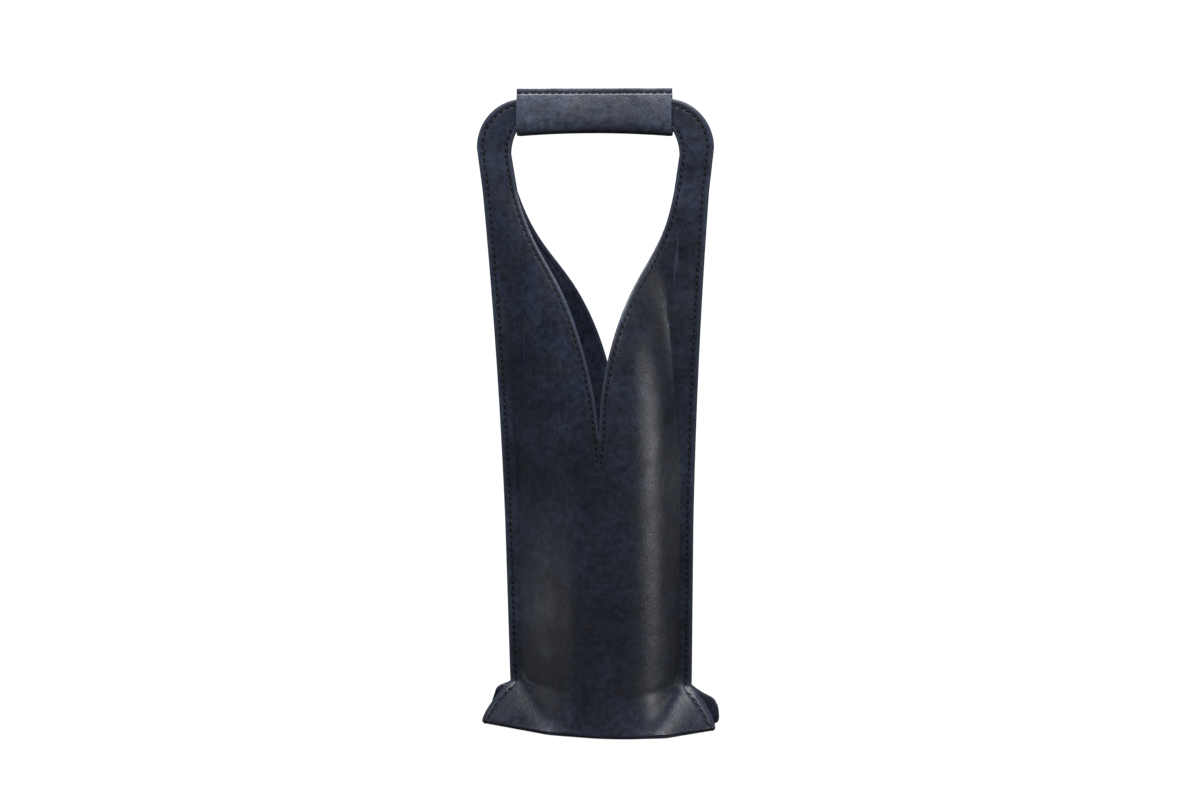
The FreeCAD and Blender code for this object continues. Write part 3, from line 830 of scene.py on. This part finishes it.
def scuffed(tree, place, colour, colours, worn_navy):
    """The colour with rubbed streaks, scratches and paler cut edges."""
    # Streaks run up and down, about 2 mm wide and six times as long
    upright = add_node(tree, "ShaderNodeMapping", {}, {
        "Vector": place, "Scale": (1.0, 1.0, 0.16), "Rotation": (0.0, 0.16, 0.0)})
    streaks = add_node(tree, "ShaderNodeTexNoise", {}, {
        "Vector": upright.outputs["Vector"], "Scale": per_mm(4.5), "Detail": 3.0, "Roughness": 0.55})
    streak_share = add_node(tree, "ShaderNodeMapRange", SMOOTH, {
        "Value": streaks.outputs["Fac"], "From Min": 0.6, "From Max": 0.78, "To Max": 0.35})
    # Scratches of about 0.5 mm, drawn 1 mm wide, lie across the streaks
    crossed = add_node(tree, "ShaderNodeMapping", {}, {
        "Vector": place, "Scale": (1.0, 1.0, 0.05), "Rotation": (0.0, 0.9, 0.3)})
    scratches = add_node(tree, "ShaderNodeTexNoise", {}, {
        "Vector": crossed.outputs["Vector"], "Scale": per_mm(2.4), "Detail": 1.0})
    scratch_share = add_node(tree, "ShaderNodeMapRange", SMOOTH, {
        "Value": scratches.outputs["Fac"], "From Min": 0.72, "From Max": 0.8, "To Max": 0.5})
    edge = add_node(tree, "ShaderNodeAttribute", {"attribute_name": "edge_distance"}, {})
    edge_share = add_node(tree, "ShaderNodeMapRange", SMOOTH, {
        "Value": edge.outputs["Fac"], "From Min": 2.4, "From Max": 0.2, "To Max": 0.5})
    for share, paler in ((streak_share, worn_navy), (scratch_share, colours.cut_edge),
                         (edge_share, colours.cut_edge)):
        worn = add_node(tree, "ShaderNodeMix", COLOUR, {
            SHARE: share.outputs["Result"], FIRST: colour, SECOND: opaque(paler)})
        colour = worn.outputs[MIXED]
    return colour


def leather_relief(tree, place, patches):
    """Grain, shallow dents and the groove that the thread pulls along a seam."""
    # Grain of about 0.5 mm is drawn at 1.1 mm so that it shows
    grain = add_node(tree, "ShaderNodeTexNoise", {}, {
        "Vector": place, "Scale": per_mm(1.1), "Detail": 3.0, "Roughness": 0.6})
    seam = add_node(tree, "ShaderNodeAttribute", {"attribute_name": "seam_distance"}, {})
    groove = add_node(tree, "ShaderNodeMapRange", SMOOTH, {
        "Value": seam.outputs["Fac"], "From Min": 0.2, "From Max": 1.5})
    fine = add_node(tree, "ShaderNodeBump", {}, {
        "Height": grain.outputs["Fac"], "Strength": 0.45, "Distance": 0.3 * MM})
    dents = add_node(tree, "ShaderNodeBump", {}, {
        "Height": patches, "Strength": 0.5, "Distance": 0.9 * MM, "Normal": fine.outputs["Normal"]})
    sewn = add_node(tree, "ShaderNodeBump", {}, {
        "Height": groove.outputs["Result"], "Strength": 0.5, "Distance": 0.5 * MM,
        "Normal": dents.outputs["Normal"]})
    return sewn.outputs["Normal"]


def waxed_leather(name, colours, navy, worn_navy):
    """Pull-up leather, waxed: matt navy with cloudy lighter and warmer patches where it was bent."""
    material, tree, shader, place = new_material(name)
    patches = add_node(tree, "ShaderNodeTexNoise", {}, {
        "Vector": place, "Scale": per_mm(17), "Detail": 5.0, "Roughness": 0.62}).outputs["Fac"]
    colour = pull_up_colour(tree, place, patches, colours, navy, worn_navy)
    shine = add_node(tree, "ShaderNodeMapRange", {}, {
        "Value": patches, "From Min": 0.3, "From Max": 0.7, "To Min": 0.33, "To Max": 0.49})
    feed(tree, shader, {
        "Base Color": scuffed(tree, place, colour, colours, worn_navy),
        "Roughness": shine.outputs["Result"], "IOR": 1.5, "Specular IOR Level": 0.6,
        "Normal": leather_relief(tree, place, patches)})
    return material


def cut_edge(colours):
    """Cut edge of leather, dyed and rubbed smooth: a paler, slightly fibrous line."""
    material, tree, shader, place = new_material("dyed_cut_edge")
    fibres = add_node(tree, "ShaderNodeTexNoise", {}, {
        "Vector": place, "Scale": per_mm(1.6), "Detail": 4.0, "Roughness": 0.65})
    share = add_node(tree, "ShaderNodeMapRange", {}, {
        "Value": fibres.outputs["Fac"], "From Min": 0.35, "From Max": 0.7, "To Max": 0.55})
    colour = add_node(tree, "ShaderNodeMix", COLOUR, {
        SHARE: share.outputs["Result"], FIRST: opaque(colours.cut_edge), SECOND: opaque(colours.navy)})
    bump = add_node(tree, "ShaderNodeBump", {}, {
        "Height": fibres.outputs["Fac"], "Strength": 0.15, "Distance": 0.3 * MM})
    feed(tree, shader, {
        "Base Color": colour.outputs[MIXED], "Roughness": 0.7, "Specular IOR Level": 0.25,
        "Normal": bump.outputs["Normal"]})
    return material


def flesh_side(colours):
    """Flesh side of leather, split and brushed: near black, with a short matt nap."""
    material, tree, shader, place = new_material("leather_flesh_side")
    nap = add_node(tree, "ShaderNodeTexNoise", {}, {
        "Vector": place, "Scale": per_mm(2.2), "Detail": 5.0, "Roughness": 0.7})
    colour = add_node(tree, "ShaderNodeMix", COLOUR, {
        SHARE: nap.outputs["Fac"], FIRST: opaque(colours.thread), SECOND: opaque(colours.flesh_side)})
    bump = add_node(tree, "ShaderNodeBump", {}, {
        "Height": nap.outputs["Fac"], "Strength": 0.5, "Distance": 0.4 * MM})
    feed(tree, shader, {
        "Base Color": colour.outputs[MIXED], "Roughness": 0.95, "Sheen Weight": 0.15,
        "Normal": bump.outputs["Normal"]})
    return material


def waxed_thread(colours):
    """Polyester sewing thread, waxed: black with a small sheen on its twist."""
    material, tree, shader, place = new_material("waxed_polyester_thread")
    # A twist of about 0.4 mm, drawn coarser so that it shows: its bands are about 1.8 mm apart
    twist = add_node(tree, "ShaderNodeTexWave", {"bands_direction": "DIAGONAL"}, {
        "Vector": place, "Scale": per_mm(0.8) / (2 * math.pi), "Distortion": 0.6})
    colour = add_node(tree, "ShaderNodeMix", COLOUR, {
        SHARE: twist.outputs["Fac"], FIRST: opaque(colours.thread),
        SECOND: opaque(colours.thread_shine)})
    bump = add_node(tree, "ShaderNodeBump", {}, {
        "Height": twist.outputs["Fac"], "Strength": 0.4, "Distance": 0.15 * MM})
    feed(tree, shader, {
        "Base Color": colour.outputs[MIXED], "Roughness": 0.6, "Specular IOR Level": 0.25,
        "Normal": bump.outputs["Normal"]})
    return material


def dress(piece, slot, *materials):
    """Give a piece its materials; the slot is not used."""
    piece.data.materials.clear()
    for material in materials:
        piece.data.materials.append(material)


def finish_of(name, make, *args):
    """A material made once and shared by the pieces that have that finish."""
    return bpy.data.materials.get(name) or make(*args)


def leather_set(context, grip):
    """Grain side, cut edge and flesh side of the body leather or of the grip leather."""
    colours = context.scene.carrier_colours
    if grip:
        name, navy, worn = "waxed_grip_leather", colours.grip_navy, colours.grip_worn
    else:
        name, navy, worn = "waxed_pull_up_leather", colours.navy, colours.worn_navy
    return (
        finish_of(name, waxed_leather, name, colours, navy, worn),
        finish_of("dyed_cut_edge", cut_edge, colours),
        finish_of("leather_flesh_side", flesh_side, colours),
    )


def flex_with_handle(piece):
    """Bake a piece's placement into its points; the piece is not bent."""
    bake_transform(piece)


# Operators

class CARRIER_OT_panels(bpy.types.Operator):
    """Make the front and the back of the body strip with their halves of the handle"""

    bl_idname = "carrier.panels"
    bl_label = "Body panels"

    def execute(self, context):
        sizes = context.scene.carrier_sizes
        finishes = leather_set(context, False)
        for word, face, seed in (("front", FRONT, 3.7), ("back", BACK, 21.4)):
            piece = panel_piece(f"{word}_leather", face, sizes, seed)
            dress(piece, "body_leather", *finishes)
            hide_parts(f"{word}_panel", f"{word}_handle_loop")
            flex_with_handle(piece)
        return {"FINISHED"}


def corner_inset(across, face, side):
    """Depth at which the floor begins beside the fold of its gussets."""
    corner = EAR_DEPTH[face, side] - CORNER_INSET
    return max(0.0, across - GUSSET_INNER) * corner / (GUSSET_OUTER - GUSSET_INNER)


def flap_rows(corner, face, side, layers):
    """Low and high end of each row of a gusset flap.

    A flap runs from the corner of the floor and the crease above it to the sewn edge of its ear."""
    rise = np.linspace(0.0, 1.0, 10)[1:]
    crease = GUSSET_INNER + (SEAM_END[0] - GUSSET_INNER) * rise
    crease -= GUSSET_TUCK * np.sin(math.pi * rise)
    low_line = [(x, corner_inset(x, face, side), BASE_LIFT) for x in corner]
    low_line += [(x, 0.0, BASE_LIFT + GUSSET_TOP * share) for x, share in zip(crease, rise)]
    rows = [(np.array(low_line[0]), np.array(low_line[0]))]
    for number, low in enumerate(low_line[1:], 1):
        share = number / (len(low_line) - 1)
        height = share * GUSSET_TOP
        depth = EAR_DEPTH[face, side] * (1.0 - height / SEAM_END[1]) - layers * min(1.0, 8 * share)
        across = ear_reach(height, face, side) - FLAP_INSET
        rows.append((np.array(low), np.array((across, max(FLAP_LEAST, depth), height + BASE_LIFT))))
    return rows


def base_points(sizes):
    """Grain side of the folded base: the floor and the flaps of its two gussets."""
    floor_rows, flap_columns = 10, 9
    corner = np.linspace(GUSSET_OUTER, GUSSET_INNER, 6)
    across = np.concatenate((-corner, np.linspace(-FLOOR_HALF, FLOOR_HALF, 40), corner[::-1]))
    points = []
    faces = []
    for face in (FRONT, BACK):
        first = len(points)
        reach = row_depth(across, WALL_FOOT, sizes, face) - sizes.fold_radius / MM - FLOOR_INSET
        inset = [corner_inset(abs(x), face, RIGHT if x > 0 else LEFT) for x in across]
        for share in np.linspace(0.0, 1.0, floor_rows):
            for x, near, far in zip(across, inset, reach):
                depth = near + (max(far, near) - near) * share
                points.append((x * MM, face * depth * MM, BASE_LIFT * MM))
        faces += grid_faces(floor_rows, len(across), first)
    layers = 2 * sizes.leather / MM + FLAP_GAP
    for side in (LEFT, RIGHT):
        for face in (FRONT, BACK):
            first = len(points)
            rows = flap_rows(corner, face, side, layers)
            for low, high in rows:
                for share in np.linspace(0.0, 1.0, flap_columns):
                    x, depth, z = low + (high - low) * share
                    points.append((side * x * MM, face * depth * MM, z * MM))
            faces += grid_faces(len(rows), flap_columns, first)
    return points, faces


class CARRIER_OT_base(bpy.types.Operator):
    """Make the folded base with its gussets"""

    bl_idname = "carrier.base"
    bl_label = "Base gusset"

    def execute(self, context):
        sizes = context.scene.carrier_sizes
        points, faces = base_points(sizes)

        def outward(middle):
            if middle.z < 0.1 * MM:
                return Vector((0.0, 0.0, -1.0))
            return Vector((math.copysign(0.5, middle.x), -math.copysign(1.0, middle.y), 0.0))

        piece = leather_sheet("base_leather", points, faces, outward, sizes.leather)
        # Its edges are sewn inside the ears, so no rim of it is worn pale
        distances = piece.data.attributes.new("edge_distance", "FLOAT", "POINT")
        for vert in piece.data.vertices:
            vert.co.z = max(vert.co.z, 0.0)
            distances.data[vert.index].value = UNWORN
        dress(piece, "body_leather", *leather_set(context, False))
        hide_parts("base_gusset")
        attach(piece, BODY)
        return {"FINISHED"}


def cover_points(half):
    """Grain side of the grip cover: its profile carried along the strap."""
    stations = np.linspace(-half, half, 49)
    profile = [(-y, z) for y, z in COVER_PROFILE] + [(y, z) for y, z in COVER_PROFILE[-2::-1]]
    points = []
    for x in stations:
        rise = COVER_BOW * (1.0 - (x / half) ** 2)
        end = COVER_FLARE * math.exp(-(half - abs(x)) / FLARE_LENGTH)
        edge = COVER_LIFT * noise.noise(Vector((x / 14.0, 2.0, 0.0)))
        for y, z in profile:
            low = ramp(z, *BOW_HEIGHTS)
            puff = COVER_PUFF * noise.noise(Vector((x / 19.0, 5.0 if y < 0 else 11.0, z / 14.0)))
            width = (1.0 + puff * ramp(z, *PUFF_HEIGHTS)) * (1.0 + end * low)
            lift = rise * low + edge * ramp(z, *LIFT_HEIGHTS)
            points.append((x * MM, y * width * MM, (z + lift) * MM))
    return points, grid_faces(len(stations), len(profile))


class CARRIER_OT_grip(bpy.types.Operator):
    """Make the leather wrap of the grip"""

    bl_idname = "carrier.grip"
    bl_label = "Grip cover"

    def execute(self, context):
        sizes = context.scene.carrier_sizes
        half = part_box("grip_cover")[1].x
        points, faces = cover_points(half / MM)

        def outward(middle):
            # The small rise turns the underside down
            return Vector((0.0, middle.y, (middle.z - COVER_MIDDLE * MM) * 0.05))

        piece = leather_sheet("grip_leather", points, faces, outward, sizes.cover_leather)
        distances = piece.data.attributes.new("edge_distance", "FLOAT", "POINT")
        seams = piece.data.attributes.new("seam_distance", "FLOAT", "POINT")
        for vert in piece.data.vertices:
            distances.data[vert.index].value = max(0.0, half - abs(vert.co.x)) / MM
            seams.data[vert.index].value = abs(vert.co.z / MM - GRIP_SEAM)
        dress(piece, "grip_leather", *leather_set(context, True))
        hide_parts("grip_cover")
        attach(piece, HANDLE)
        return {"FINISHED"}


def to_body(points):
    """Direction from an outer edge to the middle of the body."""
    return np.array(BODY_MIDDLE) - points


def to_floor(points):
    """Direction from an ear edge to the middle of the floor."""
    return -points


def from_mouth(points):
    """Direction from the middle of the mouth to its edge."""
    return points - np.array(MOUTH_MIDDLE)


class CARRIER_OT_threads(bpy.types.Operator):
    """Sew the seams: a row of stitches for each length of thread"""

    bl_idname = "carrier.threads"
    bl_label = "Threads"

    def execute(self, context):
        sizes = context.scene.carrier_sizes
        thread = finish_of("waxed_polyester_thread", waxed_thread, context.scene.carrier_colours)
        shape = stitch_shape(sizes)
        leathers = {face: bpy.data.objects[f"{word}_leather"] for word, face in FACES}
        both = (FRONT, BACK)
        pitch = sizes.stitch_pitch / MM
        seam = sizes.seam_inset / MM
        mouth = sizes.mouth_inset / MM
        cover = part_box("grip_cover")[1].x / MM

        def in_sight(place):
            across, up = place[0]
            return up > LOWEST_STITCH and (up < HIDDEN_ABOVE or abs(across) > cover + COVER_SPACE)

        def thread_of(node, stitches):
            piece = thread_piece(f"{node}_stitches", shape, stitches)
            dress(piece, "thread", thread)
            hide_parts(node)
            return piece

        def sew(node, lines, faces):
            stitches = []
            for line in lines:
                places = [place for place in stitch_places(line, pitch) if in_sight(place)]
                for face in faces:
                    stitches += on_leather(leathers[face], places, face)
            return thread_of(node, stitches)

        for word, side in (("left", LEFT), ("right", RIGHT)):
            edge = inset_line(on_side(SIDE_LINE, side), seam, to_body)
            arm = inset_line(on_side(LOOP_LINE, side), seam, to_body)
            hole = inset_line(on_side(HOLE_LINE, side), mouth, from_mouth)
            vee = inset_line(MOUTH_LINES[side], mouth, from_mouth)
            for node, line in ((f"side_thread_{word}", edge), (f"shoulder_thread_{word}", arm),
                               (f"hand_hole_thread_{word}", hole)):
                flex_with_handle(sew(node, [line], both))
            for layer, face in FACES:
                flex_with_handle(sew(f"{layer}_mouth_thread_{word}", [vee], (face,)))
                ear = inset_line(on_side(EAR_LINES[face, side], side), seam, to_floor)
                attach(sew(f"ear_thread_{layer}_{word}", [ear], (face,)), BODY)
        for layer, face in FACES:
            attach(sew(f"{layer}_slit_tack", tack_lines(sizes), (face,)), BODY)

        places = stitch_places(line_points((-cover, GRIP_SEAM), (cover, GRIP_SEAM), 60), pitch)
        grip = bpy.data.objects["grip_leather"]
        stitches = on_leather(grip, places, FRONT) + on_leather(grip, places, BACK)
        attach(thread_of("grip_seam_thread", stitches), HANDLE)
        return {"FINISHED"}


# Stage

def studio_floor(context):
    """Pale floor that reads as white to the camera, keeps its shadow and throws little light back."""
    bpy.ops.object.select_all(action="DESELECT")
    bpy.ops.mesh.primitive_plane_add(size=30.0, location=(0.0, 0.0, -0.0002))
    floor = context.active_object
    floor.name = "pale_floor"
    material, tree, shader, place = new_material("pale_studio_floor")
    seen = add_node(tree, "ShaderNodeLightPath", {}, {}).outputs["Is Camera Ray"]
    colour = add_node(tree, "ShaderNodeMix", COLOUR, {
        SHARE: seen, FIRST: opaque(linear(FLOOR_BOUNCE)), SECOND: opaque(linear(FLOOR_SEEN))})
    feed(tree, shader, {"Base Color": colour.outputs[MIXED], "Roughness": 0.9})
    away = add_node(tree, "ShaderNodeVectorMath", {"operation": "LENGTH"}, {0: place})
    near, far = SHADOW_REACH
    clear = add_node(tree, "ShaderNodeMapRange", SMOOTH, {
        "Value": away.outputs["Value"], "From Min": near, "From Max": far, "To Min": 0.85})
    share = add_node(tree, "ShaderNodeMath", {"operation": "MULTIPLY"}, {
        0: seen, 1: clear.outputs["Result"]})
    glow = add_node(tree, "ShaderNodeEmission", {}, {"Color": opaque(linear(WHITE)), "Strength": 1.1})
    mixed = add_node(tree, "ShaderNodeMixShader", {}, {
        0: share.outputs[0], 1: shader.outputs["BSDF"], 2: glow.outputs["Emission"]})
    output = next(item for item in tree.nodes if item.bl_idname == "ShaderNodeOutputMaterial")
    feed(tree, output, {"Surface": mixed.outputs["Shader"]})
    floor.data.materials.append(material)


def studio_world(scene):
    """White to the camera, and a weak fill on the leather."""
    world = bpy.data.worlds.new("white_studio")
    scene.world = world
    world.use_nodes = True
    tree = world.node_tree
    tree.nodes.clear()
    seen = add_node(tree, "ShaderNodeLightPath", {}, {}).outputs["Is Camera Ray"]
    fill = add_node(tree, "ShaderNodeBackground", {}, {
        "Color": opaque(linear(FILL)), "Strength": 0.09})
    white = add_node(tree, "ShaderNodeBackground", {}, {
        "Color": opaque(linear(WHITE)), "Strength": 1.0})
    mixed = add_node(tree, "ShaderNodeMixShader", {}, {
        0: seen, 1: fill.outputs["Background"], 2: white.outputs["Background"]})
    add_node(tree, "ShaderNodeOutputWorld", {}, {"Surface": mixed.outputs["Shader"]})


def soft_light(name, place, aim, size, power):
    """Rectangular studio light aimed at a point."""
    light = bpy.data.lights.new(name, "AREA")
    light.shape = "RECTANGLE"
    light.size, light.size_y = size
    light.energy = power
    lamp = bpy.data.objects.new(name, light)
    lamp.location = place
    lamp.rotation_euler = (Vector(aim) - Vector(place)).to_track_quat("-Z", "Y").to_euler()
    bpy.context.collection.objects.link(lamp)
    return lamp


def studio_lights():
    """Overhead, front and back lights, and two low side lights."""
    middle = (0.0, 0.0, 0.22)
    soft_light("overhead_light", (0.0, -0.42, 1.08), (0.0, 0.0, 0.3), (0.8, 0.5), 18.0)
    # The side lights only show as gloss, as far strips of a studio do
    right = soft_light("right_light", (1.22, -0.15, 0.06), (0.0, 0.0, 0.06), (0.46, 0.11), 3.2)
    left = soft_light(
        "left_light", (-0.26, -0.045, 0.025), (-0.03, -0.03, 0.025), (0.09, 0.04), 0.022)
    for side_light in (right, left):
        side_light.visible_diffuse = False
        side_light.visible_camera = False
    soft_light("front_light", (0.4, -2.2, 1.1), middle, (1.2, 1.2), 0.5)
    soft_light("back_light", (-0.5, 1.7, 0.8), middle, (1.0, 1.0), 13.0)


def studio_camera(context):
    """Camera at the photograph's viewing angle."""
    lens = bpy.data.cameras.new("view")
    lens.sensor_fit = "HORIZONTAL"
    lens.sensor_width = 36.0
    lens.lens = LENS
    camera = bpy.data.objects.new("view", lens)
    camera.location = CAMERA_PLACE
    look = (Vector(CAMERA_AIM) - camera.location).to_track_quat("-Z", "Y")
    camera.rotation_euler = (look @ Quaternion((0.0, 0.0, 1.0), CAMERA_ROLL)).to_euler()
    context.collection.objects.link(camera)
    context.scene.camera = camera
    context.scene.view_settings.view_transform = "Standard"


class CARRIER_OT_stage(bpy.types.Operator):
    """Set up the pale floor, the soft lights and the camera"""

    bl_idname = "carrier.stage"
    bl_label = "Stage"

    def execute(self, context):
        studio_floor(context)
        studio_world(context.scene)
        studio_lights()
        studio_camera(context)
        return {"FINISHED"}


class CARRIER_PT_sidebar(bpy.types.Panel):
    """Sizes, colours and steps of the carrier"""

    bl_idname = "CARRIER_PT_sidebar"
    bl_label = "Bottle carrier"
    bl_space_type = "VIEW_3D"
    bl_region_type = "UI"
    bl_category = "Carrier"

    def draw(self, context):
        for group in (context.scene.carrier_sizes, context.scene.carrier_colours):
            for name in group.__annotations__:
                self.layout.prop(group, name)
        for step in STEPS:
            self.layout.operator(step.bl_idname)


STEPS = (CARRIER_OT_panels, CARRIER_OT_base, CARRIER_OT_grip, CARRIER_OT_threads, CARRIER_OT_stage)
CLASSES = (CarrierSizes, CarrierColours, *STEPS, CARRIER_PT_sidebar)


def register():
    """Add the classes and the scene's settings."""
    for item in CLASSES:
        bpy.utils.register_class(item)
    bpy.types.Scene.carrier_sizes = PointerProperty(type=CarrierSizes)
    bpy.types.Scene.carrier_colours = PointerProperty(type=CarrierColours)


def unregister():
    """Take the settings and the classes away again."""
    del bpy.types.Scene.carrier_colours
    del bpy.types.Scene.carrier_sizes
    for item in reversed(CLASSES):
        bpy.utils.unregister_class(item)


def main():
    """Build the carrier."""
    register()
    bpy.ops.carrier.panels()
    bpy.ops.carrier.base()
    bpy.ops.carrier.grip()
    bpy.ops.carrier.threads()
    bpy.ops.carrier.stage()


if __name__ == "__main__":
    main()
